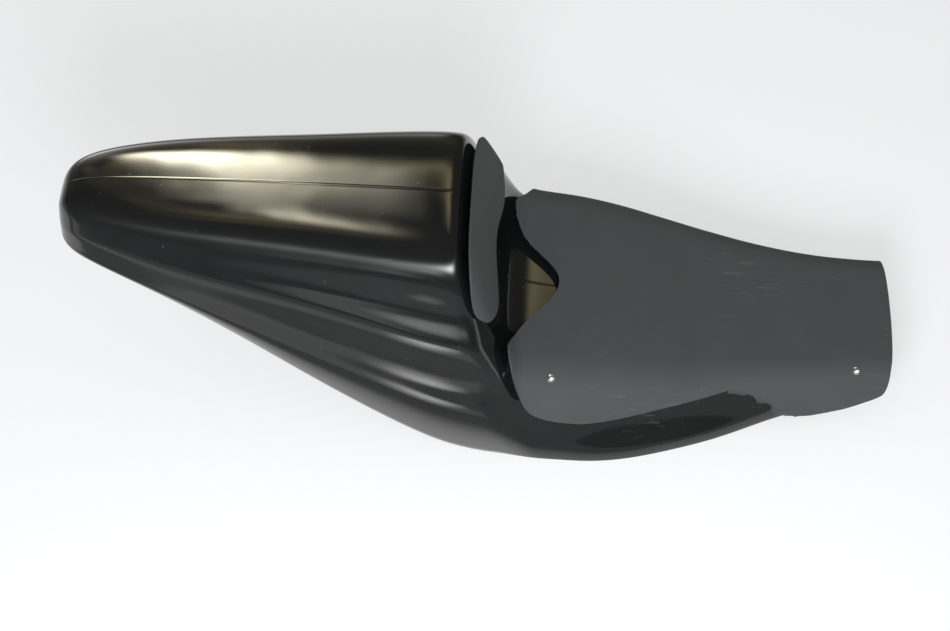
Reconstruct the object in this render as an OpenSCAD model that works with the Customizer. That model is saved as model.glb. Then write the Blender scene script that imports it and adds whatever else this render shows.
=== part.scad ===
// Racing seat unit for a road-race motorcycle: a one-piece laminate shell with a bum stop and a
// closed tail, a foam seat pad with two rear lobes, a foam back pad, and two domed rivets.
// Front of the motorcycle is +X, its left side is +Y, and the shell stands on its lower edge.

/* [Tail] */
// Length of the tail, from the lip of the bum stop back to the tip
tail_length = 400; // [350:1:450]
// Height of the tail's crown over the lower edge
tail_height = 256; // [225:1:290]
// Width of the tail across its belly, beside the bum stop
tail_width = 302; // [270:1:340]
// Height of the tip's point, where the crown and the underside meet
tip_height = 198; // [170:1:220]
// Depth of the two long hollows in the flank, above and below its ridge
flank_hollow = 9; // [0:0.5:12]

/* [Bum stop] */
// Run of the bum stop, from the lip forward to the foot of the wall
stop_run = 86; // [70:1:110]
// How far the lip sweeps forward from the crown to the lower edge
lip_sweep = 38; // [20:1:55]

/* [Seat] */
// Length of the seat, from the lip of the bum stop forward to the front edge
seat_length = 460; // [400:1:520]
// Height of the pan at the foot of the bum stop
pan_rear_height = 97; // [85:1:110]
// Height of the pan at the front edge
pan_front_height = 62; // [52:1:72]
// Width of the pan across its shoulders, at the rear
pan_rear_width = 242; // [225:1:260]
// Width of the pan across its shoulders, at the front
pan_front_width = 138; // [120:1:160]
// Radius of the pan's shoulders, at the rear
shoulder_rear_r = 22; // [18:1:26]
// Radius of the pan's shoulders, at the front
shoulder_front_r = 11; // [9:1:13]
// Width across the lower edge, where the seat is widest
edge_width = 306; // [275:1:340]
// Width across the lower edge, at the front
edge_front_width = 144; // [130:1:170]
// Rise of the lower edge, at the front
edge_front_rise = 22; // [10:1:28]
// How far the lower edge stops short of the pan at the front
front_rake = 28; // [10:1:40]

/* [Laminate] */
// Thickness of the laminate
wall = 3; // [2:0.1:4]

/* [Pads] */
// Thickness of the seat pad
seat_pad_thickness = 10; // [6:0.5:14]
// Thickness of the back pad
back_pad_thickness = 11; // [6:0.5:14]
// Clearance between a pad and the shell
pad_clearance = 0.3; // [0.2:0.1:0.6]

/* [Rivets] */
// Diameter of a rivet's domed head
rivet_head_d = 8; // [7:0.5:11]
// Height of a rivet's domed head
rivet_head_h = 1.7; // [1.2:0.1:2.4]
// Diameter of a rivet's shank
rivet_shank_d = 4; // [3:0.1:4.8]
// Diameter of the recess that the mandrel leaves in the head
mandrel_d = 1.8; // [1.2:0.1:2.2]
// Depth of that recess
mandrel_depth = 1.2; // [0.6:0.1:1.4]
// Diameter of the bulb on the blind side
rivet_bulb_d = 6.4; // [5.6:0.1:8]
// Clearance round the shank and under the head
rivet_clearance = 0.3; // [0.2:0.1:0.5]

/* [Hidden] */

// Lines plan of the tail, drawn 400 long, 256 high and 302 wide, and stretched to the sizes above.
// Each station is the distance behind the lip at the crown and at the lower edge, the height of the
// crown, then the half width and height at the shoulder, ridge, hip and lower edge, and last the
// share of the flank's hollows.
DRAWN_LENGTH = 400;
DRAWN_HEIGHT = 256;
DRAWN_HALF = 151;
TAIL_LINES = [
    [399, 399, 228, [18, 223], [24, 212], [28, 199], [27, 190], 0],
    [384, 386, 247, [36, 238], [45, 216], [48, 198], [46, 187], 0],
    [345, 348, 253, [49, 243], [60, 216], [64, 190], [60, 179], 0],
    [285, 288, 255, [62, 243], [77, 208], [82, 175], [77, 158], 0],
    [215, 215, 256, [71, 241], [88, 201], [97, 152], [94, 120], 0.15],
    [140, 135, 256, [79, 239], [101, 192], [114, 118], [112, 66], 0.4],
    [75, 60, 255, [88, 237], [114, 181], [132, 95], [131, 28], 0.75],
    [32, 6, 255, [94, 233], [123, 172], [146, 80], [142, 4], 1],
];
// Section of the tail at the lip, which the bum stop blends down into the pan
LIP_LINE = [254, [97, 229], [127, 168], [151, 76], [147, 0], 1];
// Fullness of the flank between the hip and the lower edge, where the tail is this wide or wider
HIP_BELLY = [4.5, 3];
BELLY_HALF = 100;
// Stations of the bum stop: share of its run at the middle and at the edge, share of the drop
STOP_LINES = [
    [0, 0, 0], [0.1, 0.12, 0.06], [0.28, 0.29, 0.4], [0.47, 0.48, 0.74], [0.65, 0.63, 0.94],
    [1, 0.88, 0.975],
];
// How much less of the drop each line takes halfway down, so that the side wings stay full
WING_LINES = [0, 0, 0, 0.04, 0.09, 0.12, 0.13, 0.12, 0.08, 0.04, 0, 0, 0];
// Stations of the pan: share of its length at the crown and at the edge, share of the rake, and
// then how far the height, shoulder width, radius, edge width and edge rise are from front to rear
PAN_LINES = [
    [0.13, 0.17, 0, 0.94, 0.96, 1, 1.01, 0],
    [0.25, 0.27, 0, 0.74, 0.83, 0.82, 0.94, 0],
    [0.37, 0.37, 0, 0.49, 0.65, 0.64, 0.81, 0],
    [0.52, 0.52, 0, 0.23, 0.42, 0.36, 0.59, 0.04],
    [0.65, 0.65, 0, 0.09, 0.21, 0.18, 0.33, 0.32],
    [0.79, 0.79, 0.18, 0.03, 0.06, 0.09, 0.15, 0.64],
    [0.91, 0.91, 0.36, 0, 0, 0, 0.05, 0.91],
    [1, 1, 1, 0, 0, 0, 0, 1],
];
// How far each line of a station lies from the crown's place towards the edge's
FLANK_LINES = [0, 0, 0.03, 0.1, 0.2, 0.3, 0.4, 0.52, 0.64, 0.74, 0.84, 0.93, 1];
EDGE_LINE = len(FLANK_LINES) - 1;

// Places along X of the lip, the foot of the bum stop and the front edge
lip_x = (tail_length - seat_length) / 2;
foot_x = lip_x + stop_run;
front_x = lip_x + seat_length;

// A point between two values or points
function mix(a, b, share) = a + (b - a) * share;

// Points of a tail section, from the crown down to the lower edge, with its hollows
function tail_section(crown, shoulder, ridge, hip, edge, hollows) = let(
    sunk = flank_hollow * hollows,
    belly = HIP_BELLY * min(1, hip[0] / BELLY_HALF)
) [
    [0, crown],
    [shoulder[0] * 0.45, crown],
    [shoulder[0] * 0.82, mix(shoulder[1], crown, 0.84)],
    shoulder,
    mix(shoulder, ridge, 0.45) - [0.67 * sunk, 0.22 * sunk],
    mix(shoulder, ridge, 0.78) - [sunk, 0],
    ridge,
    mix(ridge, hip, 0.27) - [0.22 * sunk, 0],
    mix(ridge, hip, 0.55) - [0.89 * sunk, 0],
    mix(ridge, hip, 0.8) - [0.78 * sunk, 0],
    hip,
    mix(hip, edge, 0.5) + belly,
    edge,
];

// A drawn section stretched to the tail's height and width
function stretched(section) = [
    for (p = section) [p[0] * tail_width / 2 / DRAWN_HALF, p[1] * tail_height / DRAWN_HEIGHT]
];

// Points of a pan section: a flat top, a rounded shoulder and a flank that flares to the edge
function pan_section(height, half_width, r, edge_half, rise) = let(
    turn = [half_width + 0.25 * r, height - 1.35 * r],
    edge = [edge_half, rise],
    flare = [0.14 * (edge_half - turn[0]), 0]
) [
    [0, height],
    [half_width * 0.27, height],
    [half_width * 0.52, height],
    [min(half_width * 0.76, half_width - 1.5 * r), height],
    [half_width - 0.9 * r, height - 0.03 * r],
    [half_width - 0.1 * r, height - 0.3 * r],
    turn,
    mix(turn, edge, 0.2),
    mix(turn, edge, 0.4),
    mix(turn, edge, 0.6) + flare * 0.3,
    mix(turn, edge, 0.76) + flare * 0.7,
    mix(turn, edge, 0.9) + flare * 0.6,
    edge,
];

// Net points of a station, leaning from the crown's place to the edge's. The rake takes the lower
// lines back in a curve.
function station(crown_x, edge_x, section, rake = 0) = [
    for (i = [0:EDGE_LINE]) [
        mix(crown_x, edge_x, FLANK_LINES[i]) - rake * pow(i / EDGE_LINE, 2),
        section[i][0],
        section[i][1]
    ]
];

lip_section = stretched(
    tail_section(LIP_LINE[0], LIP_LINE[1], LIP_LINE[2], LIP_LINE[3], LIP_LINE[4], LIP_LINE[5])
);
rear_section = pan_section(
    pan_rear_height, pan_rear_width / 2, shoulder_rear_r, edge_width / 2, 0
);
// The net of the outer face: one row of points for each station, from the tip to the front
NET = [
    [for (i = [0:EDGE_LINE]) [lip_x - tail_length, 0, tip_height]],
    for (t = TAIL_LINES) station(
        lip_x - t[0] * tail_length / DRAWN_LENGTH,
        lip_x - t[1] * tail_length / DRAWN_LENGTH,
        stretched(tail_section(t[2], t[3], t[4], t[5], t[6], t[7]))
    ),
    for (s = STOP_LINES) station(
        lip_x + s[0] * stop_run,
        lip_x + lip_sweep + s[1] * stop_run,
        [for (i = [0:EDGE_LINE]) mix(
            lip_section[i], rear_section[i], s[2] - WING_LINES[i] * 4 * s[2] * (1 - s[2])
        )]
    ),
    for (p = PAN_LINES) station(
        mix(foot_x, front_x, p[0]),
        mix(foot_x, front_x, p[1]),
        pan_section(
            mix(pan_front_height, pan_rear_height, p[3]),
            mix(pan_front_width, pan_rear_width, p[4]) / 2,
            mix(shoulder_front_r, shoulder_rear_r, p[5]),
            mix(edge_front_width, edge_width, p[6]) / 2,
            edge_front_rise * p[7]
        ),
        p[2] * front_rake
    ),
];
LAST = len(NET) - 1;

// The net carried one row and one column past its ends, and mirrored to the right side
function row_at(r) = r < 0 ? 2 * NET[0] - NET[1] : r > LAST ? 2 * NET[LAST] - NET[LAST - 1] : NET[r];
function half_point(row, c) =
    c > EDGE_LINE ? 2 * row[EDGE_LINE] - row[EDGE_LINE - 1] : row[c];
function net_row(row) = [
    for (c = [-EDGE_LINE - 1:EDGE_LINE + 1])
        let(p = half_point(row, abs(c))) [p[0], c < 0 ? -p[1] : p[1], p[2]]
];
WIDE_NET = [for (r = [-1:LAST + 1]) net_row(row_at(r))];

// Weights of a uniform cubic B-spline over one span, and their slopes
function weights(t) = [
    pow(1 - t, 3) / 6,
    (3 * pow(t, 3) - 6 * t * t + 4) / 6,
    (3 * t * t + 3 * t + 1 - 3 * pow(t, 3)) / 6,
    pow(t, 3) / 6,
];
function slopes(t) = [
    -pow(1 - t, 2) / 2,
    (3 * t * t - 4 * t) / 2,
    (2 * t + 1 - 3 * t * t) / 2,
    t * t / 2,
];
function blend(span_u, span_v, wu, wv) = wu * [
    for (a = [0:3]) wv * [for (b = [0:3]) WIDE_NET[span_u + a][span_v + b]]
];
// A point at a station and a line, where the line runs from the right edge, below zero, over the
// crown at zero to the left edge
function span_of(s, last) = min(floor(s), last - 1);
function on_skin(station, line) = let(
    a = span_of(station, LAST),
    b = span_of(line + EDGE_LINE, 2 * EDGE_LINE)
) blend(a, b, weights(station - a), weights(line + EDGE_LINE - b));
// The outward normal there
function normal_at(station, line) = station <= 0 ? [-1, 0, 0] : let(
    a = span_of(station, LAST),
    b = span_of(line + EDGE_LINE, 2 * EDGE_LINE),
    along = blend(a, b, slopes(station - a), weights(line + EDGE_LINE - b)),
    across = blend(a, b, weights(station - a), slopes(line + EDGE_LINE - b)),
    n = cross(along, across)
) n / norm(n);
function level(v) = let(f = [v[0], v[1], 0]) f / norm(f);
// A point raised over the skin, or sunk below it where the distance is negative
function over_skin(station, line, distance) =
    on_skin(station, line) + normal_at(station, line) * distance;

// Facets to each cell of the net, along the shell and across it
FACETS_ALONG = 2;
FACETS_ACROSS = 2;
rings = LAST * FACETS_ALONG;
lines = 2 * EDGE_LINE * FACETS_ACROSS;
function line_of(j) = j / FACETS_ACROSS - EDGE_LINE;

// Inner face of the laminate, which keeps the height of the trimmed lower edge
function inner_point(i, j) = let(s = i / FACETS_ALONG, l = line_of(j))
    j == 0 || j == lines
        ? on_skin(s, l) - level(normal_at(s, l)) * wall
        : over_skin(s, l, -wall);

// Two triangles of a cell, with the diagonal mirrored from side to side
function cell(a, b, c, d, flip) = flip ? [[a, b, d], [b, c, d]] : [[a, b, c], [a, c, d]];
function turned(faces) = [for (f = faces) [f[2], f[1], f[0]]];

// A closed skin between two grids of points, each with the given rows and columns
module slab(outer, inner, rows, columns) {
    size = rows * columns;
    function at(i, j) = i * columns + j;
    top = [
        for (i = [0:rows - 2], j = [0:columns - 2])
            each cell(at(i, j), at(i, j + 1), at(i + 1, j + 1), at(i + 1, j), j < (columns - 1) / 2)
    ];
    edge = [
        for (i = [0:rows - 2]) each [
            [at(i, 0), at(i + 1, 0), size + at(i + 1, 0), size + at(i, 0)],
            [
                at(i + 1, columns - 1), at(i, columns - 1),
                size + at(i, columns - 1), size + at(i + 1, columns - 1)
            ],
        ],
        for (j = [0:columns - 2]) each [
            [at(0, j + 1), at(0, j), size + at(0, j), size + at(0, j + 1)],
            [at(rows - 1, j), at(rows - 1, j + 1), size + at(rows - 1, j + 1), size + at(rows - 1, j)],
        ],
    ];
    polyhedron(
        points = concat(outer, inner),
        faces = concat(
            top,
            turned([for (f = top) [size + f[0], size + f[1], size + f[2]]]),
            [for (f = edge) each [[f[0], f[1], f[2]], [f[0], f[2], f[3]]]]
        )
    );
}

// The shell's laminate, closed over the tip by a fan of triangles. A gap lifts its outer face, so
// that what is cut by it clears the shell by that much.
module laminate(gap = 0) {
    columns = lines + 1;
    size = rings * columns;
    tip = 2 * size;
    function at(i, j) = (i - 1) * columns + j;
    outer = [
        for (i = [1:rings], j = [0:lines]) over_skin(i / FACETS_ALONG, line_of(j), gap)
    ];
    inner = [for (i = [1:rings], j = [0:lines]) inner_point(i, j)];
    tips = [over_skin(0, 0, gap), over_skin(0, 0, -wall)];
    top = [
        for (i = [1:rings - 1], j = [0:lines - 1])
            each cell(at(i, j), at(i, j + 1), at(i + 1, j + 1), at(i + 1, j), j < lines / 2)
    ];
    edge = [
        for (i = [1:rings - 1]) each [
            [at(i, 0), at(i + 1, 0), size + at(i + 1, 0), size + at(i, 0)],
            [at(i + 1, lines), at(i, lines), size + at(i, lines), size + at(i + 1, lines)],
        ],
        for (j = [0:lines - 1])
            [at(rings, j), at(rings, j + 1), size + at(rings, j + 1), size + at(rings, j)],
        [tip, at(1, 0), size + at(1, 0), tip + 1],
        [at(1, lines), tip, tip + 1, size + at(1, lines)],
    ];
    polyhedron(
        points = concat(outer, inner, tips),
        faces = concat(
            top,
            turned([for (f = top) [size + f[0], size + f[1], size + f[2]]]),
            [for (j = [0:lines - 1]) [at(1, j + 1), at(1, j), tip]],
            [for (j = [0:lines - 1]) [size + at(1, j), size + at(1, j + 1), tip + 1]],
            [for (f = edge) each [[f[0], f[1], f[2]], [f[0], f[2], f[3]]]]
        )
    );
}

// Outline of the seat pad, in stations and lines of the shell's net. The rear edge runs from the
// notch at the middle out to the lobes and round to the sides. The side edge gives the line where
// the pad ends at shares of the way from there to the front: out over the flank, in at the waist,
// and down to the lower edge ahead of it. Its corners are rounded over a share of that way.
FRONT_STATION = LAST - 0.05;
FRONT_CORNER_LINE = 7;
FRONT_CORNER = 1.1;
NOTCH_STATION = 14.4;
NOTCH_SHARPNESS = 1.3;
LOBE_STATION = 12.05;
SIDE_STATION = 14.8;
LOBE_LINE = 4.7;
TOP_LINE = 4.6;
TOP_SHARE = 1 / 2;
CORNER_SHARE = 0.03;
PAD_SIDE = [
    [0, 7.3], [0.16, 6.9], [0.28, 6.5], [0.38, 6.1], [0.49, 5.6], [0.56, 5.25], [0.61, 5.35],
    [0.655, 5.8], [0.7, 7], [0.75, 9], [0.82, 11.1], [0.9, 11.7], [1, 11.7],
];
function seat_pad_side(p) =
    (lookup(p - CORNER_SHARE, PAD_SIDE) + lookup(p, PAD_SIDE) + lookup(p + CORNER_SHARE, PAD_SIDE)) / 3;
function round_out(share) = 1 - sqrt(max(0, 1 - share * share));
function seat_pad_rear(line) = abs(line) < LOBE_LINE
    ? mix(LOBE_STATION, NOTCH_STATION, pow((1 + cos(180 * line / LOBE_LINE)) / 2, NOTCH_SHARPNESS))
    : mix(
        LOBE_STATION, SIDE_STATION,
        round_out((abs(line) - LOBE_LINE) / (seat_pad_side(0) - LOBE_LINE))
    );
function seat_pad_front(line) = FRONT_STATION - FRONT_CORNER
    * pow(max(0, abs(line) - FRONT_CORNER_LINE) / (seat_pad_side(1) - FRONT_CORNER_LINE), 2);
// Line of a column: even over the top, and then out to the side edge
function seat_pad_line(q, p) = sign(q) * (abs(q) < TOP_SHARE
    ? abs(q) / TOP_SHARE * TOP_LINE
    : mix(TOP_LINE, seat_pad_side(p), (abs(q) - TOP_SHARE) / (1 - TOP_SHARE)));
SEAT_PAD_ROWS = 28;
SEAT_PAD_COLUMNS = 32;
function seat_pad_grid(distance) = [
    for (i = [0:SEAT_PAD_ROWS], j = [0:SEAT_PAD_COLUMNS]) let(
        p = i / SEAT_PAD_ROWS,
        q = 2 * j / SEAT_PAD_COLUMNS - 1
    ) over_skin(
        mix(seat_pad_rear(seat_pad_line(q, 0)), seat_pad_front(seat_pad_line(q, 1)), p),
        seat_pad_line(q, p),
        distance
    )
];

// Outline of the back pad: straight along the lip, with a rounded lobe at each side that reaches
// lower than its middle
BACK_TOP = 9.75;
BACK_BOTTOM = 11.38;
BACK_SIDE = 4.1;
BACK_TOP_ROUND = 0.55;
BACK_LOBE = 0.3;
BACK_BOTTOM_ROUND = 0.85;
function back_pad_top(q) = BACK_TOP + BACK_TOP_ROUND * round_out(q);
function back_pad_bottom(q) =
    BACK_BOTTOM + BACK_LOBE * pow(sin(180 * abs(q)), 2) - BACK_BOTTOM_ROUND * round_out(q);
BACK_PAD_ROWS = 8;
BACK_PAD_COLUMNS = 24;
function back_pad_grid(distance) = [
    for (i = [0:BACK_PAD_ROWS], j = [0:BACK_PAD_COLUMNS]) let(
        q = 2 * j / BACK_PAD_COLUMNS - 1
    ) over_skin(mix(back_pad_top(q), back_pad_bottom(q), i / BACK_PAD_ROWS), q * BACK_SIDE, distance)
];

// Places of the rivets, as station and line, on the right side
REAR_RIVET = [14.12, -4.7];
FRONT_RIVET = [20.88, -4.65];

// A pad of a given thickness: a slab that starts inside the laminate and is cut back to clear it
module pad(outer, sunk, rows, columns) {
    difference() {
        slab(outer, sunk, rows + 1, columns + 1);
        laminate(pad_clearance);
    }
}

// Children stand on the skin there, with +Z along its normal
module on_normal(place) {
    n = normal_at(place[0], place[1]);
    translate(on_skin(place[0], place[1]))
        rotate([0, acos(n[2]), atan2(n[1], n[0])])
            children();
}

// Holes for the shanks, through whatever they cross
module rivet_holes() {
    reach = 2 * seat_pad_thickness + wall;
    for (place = [REAR_RIVET, FRONT_RIVET])
        on_normal(place)
            translate([0, 0, -reach])
                cylinder(h = 2 * reach, d = rivet_shank_d + 2 * rivet_clearance, $fn = 24);
}

// How far the shank runs into the head and the bulb, so that they are one solid
SHANK_OVERLAP = 0.1;

// A blind rivet on the pad's top: a domed head with a recess, a shank and a bulb under the laminate
module rivet(place) {
    head_z = pad_clearance + seat_pad_thickness + rivet_clearance;
    bulb_z = -wall - rivet_clearance;
    dome_r = (pow(rivet_head_d / 2, 2) + pow(rivet_head_h, 2)) / 2 / rivet_head_h;
    color("silver") on_normal(place) difference() {
        rotate_extrude($fn = 48) union() {
            intersection() {
                translate([0, head_z + rivet_head_h - dome_r]) circle(r = dome_r, $fn = 96);
                translate([0, head_z]) square([rivet_head_d / 2, rivet_head_h]);
            }
            translate([0, bulb_z - SHANK_OVERLAP])
                square([rivet_shank_d / 2, head_z - bulb_z + 2 * SHANK_OVERLAP]);
            intersection() {
                translate([0, bulb_z - rivet_bulb_d / 2]) circle(d = rivet_bulb_d, $fn = 48);
                translate([0, bulb_z - rivet_bulb_d]) square([rivet_bulb_d, rivet_bulb_d]);
            }
        }
        translate([0, 0, head_z + rivet_head_h - mandrel_depth])
            cylinder(h = 2 * mandrel_depth, d = mandrel_d, $fn = 24);
    }
}

module shell() {
    color("#15161a") difference() {
        laminate();
        rivet_holes();
    }
}

module seat_pad() {
    color("#4c5052") difference() {
        pad(
            seat_pad_grid(pad_clearance + seat_pad_thickness),
            seat_pad_grid(-wall / 2),
            SEAT_PAD_ROWS,
            SEAT_PAD_COLUMNS
        );
        rivet_holes();
    }
}

module back_pad() {
    color("#54585a") pad(
        back_pad_grid(pad_clearance + back_pad_thickness),
        back_pad_grid(-wall / 2),
        BACK_PAD_ROWS,
        BACK_PAD_COLUMNS
    );
}

module rivet_rear() { rivet(REAR_RIVET); }
module rivet_front() { rivet(FRONT_RIVET); }

shell();
seat_pad();
back_pad();
rivet_rear();
rivet_front();
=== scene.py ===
"""Racing seat unit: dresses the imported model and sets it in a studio.

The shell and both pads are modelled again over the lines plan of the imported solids, with a finer
mesh. The rivets keep their solids and get their metal. Front of the motorcycle is +X, its left
side is +Y, and the unit stands on its lower edge.
"""

import math

import bpy
import numpy as np
from bpy.props import FloatProperty, FloatVectorProperty, IntProperty, PointerProperty
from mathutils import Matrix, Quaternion, Vector


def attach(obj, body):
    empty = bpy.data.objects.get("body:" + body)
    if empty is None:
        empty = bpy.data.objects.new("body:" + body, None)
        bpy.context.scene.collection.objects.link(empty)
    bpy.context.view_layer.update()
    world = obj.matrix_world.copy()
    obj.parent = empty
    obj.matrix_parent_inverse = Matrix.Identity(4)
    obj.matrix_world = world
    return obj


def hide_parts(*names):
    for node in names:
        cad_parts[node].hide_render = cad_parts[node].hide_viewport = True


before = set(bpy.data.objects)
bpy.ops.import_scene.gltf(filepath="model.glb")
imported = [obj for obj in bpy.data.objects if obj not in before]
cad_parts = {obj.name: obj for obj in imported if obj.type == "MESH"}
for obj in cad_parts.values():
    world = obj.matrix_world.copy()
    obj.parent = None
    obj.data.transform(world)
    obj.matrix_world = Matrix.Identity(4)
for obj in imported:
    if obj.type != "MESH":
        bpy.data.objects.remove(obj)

bl_info = {
    "name": "Racing Seat Unit",
    "version": (1, 0, 0),
    "blender": (4, 5, 0),
    "location": "3D View > Sidebar > Seat Unit",
    "description": "Lacquered racing seat unit with foam pads and blind rivets, in a studio",
    "category": "Add Mesh",
}

RIVETS = ("rivet_rear", "rivet_front")

# Lines plan

MM = 0.001
LAST_LINE = 12

# Stations of the tail, in millimetres: distance behind the lip at the crown and at the lower
# edge, height of the crown, then half width and height of the shoulder, the ridge, the hip and
# the lower edge, and the depth of the two steps in the flank.
TAIL_STATIONS = (
    (399, 399, 228, (18, 223), (24, 212), (28, 199), (27, 190), 0),
    (384, 386, 247, (36, 238), (45, 216), (48, 198), (46, 187), 0),
    (345, 348, 253, (49, 243), (60, 216), (64, 190), (60, 179), 0),
    (285, 288, 255, (62, 243), (77, 208), (82, 175), (77, 158), 0),
    (215, 215, 256, (71, 241), (88, 201), (97, 152), (94, 120), 0.15),
    (140, 135, 256, (79, 239), (101, 192), (114, 118), (112, 66), 0.4),
    (75, 60, 255, (88, 237), (114, 181), (132, 95), (131, 28), 0.75),
    (32, 6, 255, (94, 233), (123, 172), (146, 80), (142, 4), 1),
)
LIP_STATION = (254, (97, 229), (127, 168), (151, 76), (147, 0), 1)
# Stations of the bum stop: share of its run at the middle and at the edge, share of the drop
STOP_STATIONS = (
    (0, 0, 0), (0.1, 0.12, 0.06), (0.28, 0.29, 0.4), (0.47, 0.48, 0.74), (0.65, 0.63, 0.94),
    (1, 0.88, 0.975),
)
# How much less of the drop each line takes halfway down, which keeps the side wings full
WING_LINES = (0, 0, 0, 0.04, 0.09, 0.12, 0.13, 0.12, 0.08, 0.04, 0, 0, 0)
# Stations of the pan: share of its length at the crown and at the edge, share of the rake, then
# how far height, shoulder width, radius, edge width and edge rise are from front to rear
PAN_STATIONS = (
    (0.13, 0.17, 0, 0.94, 0.96, 1, 1.01, 0),
    (0.25, 0.27, 0, 0.74, 0.83, 0.82, 0.94, 0),
    (0.37, 0.37, 0, 0.49, 0.65, 0.64, 0.81, 0),
    (0.52, 0.52, 0, 0.23, 0.42, 0.36, 0.59, 0.04),
    (0.65, 0.65, 0, 0.09, 0.21, 0.18, 0.33, 0.32),
    (0.79, 0.79, 0.18, 0.03, 0.06, 0.09, 0.15, 0.64),
    (0.91, 0.91, 0.36, 0, 0, 0, 0.05, 0.91),
    (1, 1, 1, 0, 0, 0, 0, 1),
)
# How far each line of a station lies from the crown's place towards the edge's
FLANK_LINES = (0, 0, 0.03, 0.1, 0.2, 0.3, 0.4, 0.52, 0.64, 0.74, 0.84, 0.93, 1)

TIP = (-430, 198)
LIP_X, FOOT_X, FRONT_X = -30, 56, 430
LIP_SWEEP = 38
FRONT_RAKE = 28
PAN_REAR = {"height": 97, "half": 121, "r": 22, "edge": 153, "rise": 0}
PAN_FRONT = {"height": 62, "half": 69, "r": 11, "edge": 72, "rise": 22}


def mix(a, b, share):
    """The point or value at that share of the way from a to b."""
    return a + (b - a) * share


def tail_section(crown, shoulder, ridge, hip, edge, step):
    """Thirteen points of half a tail section, from the crown down to the lower edge."""
    shoulder, ridge, hip, edge = (np.array(p, float) for p in (shoulder, ridge, hip, edge))
    flare = min(1, hip[0] / 100)
    return np.array([
        (0, crown),
        (shoulder[0] * 0.45, crown),
        (shoulder[0] * 0.82, mix(shoulder[1], crown, 0.84)),
        shoulder,
        mix(shoulder, ridge, 0.45) - [6 * step, 2 * step],
        mix(shoulder, ridge, 0.78) - [9 * step, 0],
        ridge,
        mix(ridge, hip, 0.27) - [2 * step, 0],
        mix(ridge, hip, 0.55) - [8 * step, 0],
        mix(ridge, hip, 0.8) - [7 * step, 0],
        hip,
        mix(hip, edge, 0.5) + [4.5 * flare, 3 * flare],
        edge,
    ])


def pan_section(height, half, r, edge, rise):
    """Thirteen points of half a pan section: a flat top, a shoulder and a flank that flares."""
    turn, foot = np.array([half + 0.25 * r, height - 1.35 * r]), np.array([edge, rise])
    flare = np.array([0.14 * (edge - turn[0]), 0])
    return np.array([
        (0, height),
        (half * 0.27, height),
        (half * 0.52, height),
        (min(half * 0.76, half - 1.5 * r), height),
        (half - 0.9 * r, height - 0.03 * r),
        (half - 0.1 * r, height - 0.3 * r),
        turn,
        mix(turn, foot, 0.2),
        mix(turn, foot, 0.4),
        mix(turn, foot, 0.6) + flare * 0.3,
        mix(turn, foot, 0.76) + flare * 0.7,
        mix(turn, foot, 0.9) + flare * 0.6,
        foot,
    ])


def station(crown_x, edge_x, section, rake=0.0):
    """Net points of a station, leaning from the crown's place to the edge's, lower lines raked."""
    x = mix(crown_x, edge_x, np.array(FLANK_LINES))
    return np.column_stack([x - rake * np.linspace(0, 1, LAST_LINE + 1) ** 2, section])


def lines_plan():
    """The whole net, from the right edge to the left one, carried one point past every side."""
    rows = [station(TIP[0], TIP[0], np.tile((0, TIP[1]), (LAST_LINE + 1, 1)))]
    for back, edge_back, *section in TAIL_STATIONS:
        rows.append(station(LIP_X - back, LIP_X - edge_back, tail_section(*section)))
    lip, rear = tail_section(*LIP_STATION), pan_section(**PAN_REAR)
    wings = np.array(WING_LINES)
    for at, edge_at, drop in STOP_STATIONS:
        share = (drop - wings * 4 * drop * (1 - drop))[:, None]
        run = FOOT_X - LIP_X
        section = mix(lip, rear, share)
        rows.append(station(LIP_X + at * run, LIP_X + LIP_SWEEP + edge_at * run, section))
    for at, edge_at, rake, height, half, r, edge, rise in PAN_STATIONS:
        section = pan_section(
            mix(PAN_FRONT["height"], PAN_REAR["height"], height),
            mix(PAN_FRONT["half"], PAN_REAR["half"], half),
            mix(PAN_FRONT["r"], PAN_REAR["r"], r),
            mix(PAN_FRONT["edge"], PAN_REAR["edge"], edge),
            PAN_FRONT["rise"] * rise,
        )
        crown_x, edge_x = mix(FOOT_X, FRONT_X, at), mix(FOOT_X, FRONT_X, edge_at)
        rows.append(station(crown_x, edge_x, section, rake * FRONT_RAKE))
    left = np.stack(rows)
    right = left[:, :0:-1] * (1, -1, 1)
    net = np.concatenate([right, left], axis=1) * MM
    net = np.concatenate([2 * net[:1] - net[1:2], net, 2 * net[-1:] - net[-2:-1]])
    return np.concatenate([2 * net[:, :1] - net[:, 1:2], net, 2 * net[:, -1:] - net[:, -2:-1]], 1)


NET = lines_plan()
LAST_STATION = NET.shape[0] - 3


def spline_weights(t):
    """Weights of a cubic B-spline's four points at share t of a span, and their slopes."""
    value = ((1 - t) ** 3, 3 * t**3 - 6 * t**2 + 4, 3 * t**2 + 3 * t + 1 - 3 * t**3, t**3)
    slope = (-((1 - t) ** 2), 3 * t**2 - 4 * t, 2 * t + 1 - 3 * t**2, t**2)
    return np.stack(value, -1) / 6, np.stack(slope, -1) / 2


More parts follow.
